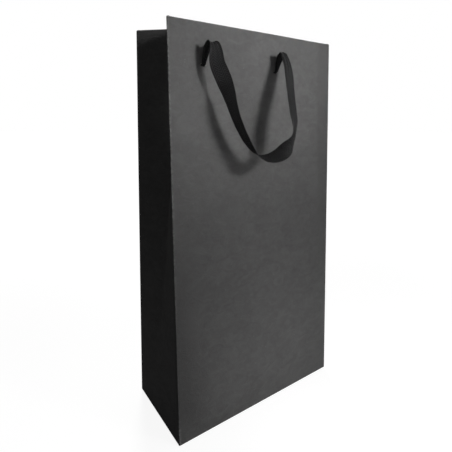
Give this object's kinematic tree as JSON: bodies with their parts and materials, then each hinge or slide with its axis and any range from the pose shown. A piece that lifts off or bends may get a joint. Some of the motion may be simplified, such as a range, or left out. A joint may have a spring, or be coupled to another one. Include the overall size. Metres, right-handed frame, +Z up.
{
  "type": "wine gift bag",
  "caption": "Open paper gift bag for wine bottles, with leaning panels, tucked side gussets, a block bottom with a loose base card, and flat ribbon handles hanging outside.",
  "frame": {"origin": "middle of the bag's footprint on the surface that it stands on", "axes": "+Z up through the mouth, -Y out of the front panel, X across the width"},
  "size_m": [0.18, 0.1314, 0.35],
  "materials": {
    "paper_outside": "matte",
    "board": "matte",
    "ribbon": "matte"
  },
  "bodies": {
    "base": {"left_gusset_front_half": "paper_outside", "left_gusset_rear_half": "paper_outside", "right_gusset_front_half": "paper_outside", "right_gusset_rear_half": "paper_outside", "left_gusset_front_turn_in": "paper_outside", "left_gusset_rear_turn_in": "paper_outside", "right_gusset_front_turn_in": "paper_outside", "right_gusset_rear_turn_in": "paper_outside", "left_gusset_foot": "paper_outside", "right_gusset_foot": "paper_outside", "bottom_front_flap": "paper_outside", "bottom_back_flap": "paper_outside", "bottom_left_flap": "paper_outside", "bottom_right_flap": "paper_outside"},
    "front_wall": {"front_panel": "paper_outside", "front_hem_card": "board", "front_hem_turn_in": "paper_outside", "front_ribbon_left_end": "ribbon", "front_ribbon_right_end": "ribbon"},
    "back_wall": {"back_panel": "paper_outside", "back_hem_card": "board", "back_hem_turn_in": "paper_outside", "seam_glue_flap": "paper_outside", "back_ribbon_left_end": "ribbon", "back_ribbon_right_end": "ribbon"},
    "front_handle": {"front_ribbon_loop": "ribbon"},
    "back_handle": {"back_ribbon_loop": "ribbon"},
    "base_board": {"base_card": "board"}
  },
  "joints": [
    {"name": "front_wall_lean", "type": "hinge", "parent": "base", "child": "front_wall", "pos_m": [0, -0.042, 0], "axis": [-1, 0, 0], "range_deg": [-1.9, 4.1], "stiffness_Nm_per_rad": 0.4, "deforming": ["left_gusset_front_half", "right_gusset_front_half", "left_gusset_front_turn_in", "right_gusset_front_turn_in"]},
    {"name": "back_wall_lean", "type": "hinge", "parent": "base", "child": "back_wall", "pos_m": [0, 0.042, 0], "axis": [1, 0, 0], "range_deg": [-1.9, 4.1], "stiffness_Nm_per_rad": 0.4, "deforming": ["left_gusset_rear_half", "right_gusset_rear_half", "left_gusset_rear_turn_in", "right_gusset_rear_turn_in"]},
    {"name": "front_handle_swing", "type": "hinge", "parent": "front_wall", "child": "front_handle", "pos_m": [0, -0.03901, 0.33448], "axis": [-1, 0, 0], "range_deg": [0, 170]},
    {"name": "back_handle_swing", "type": "hinge", "parent": "back_wall", "child": "back_handle", "pos_m": [0, 0.03901, 0.33448], "axis": [1, 0, 0], "range_deg": [0, 170]},
    {"name": "base_card_tilt", "type": "hinge", "parent": "base", "child": "base_board", "pos_m": [0, 0.0395, 0.0021], "axis": [-1, 0, 0], "range_deg": [0, 40]}
  ],
  "couplings": [
    {"joint": "back_wall_lean", "follows": "front_wall_lean", "ratio": 1}
  ]
}
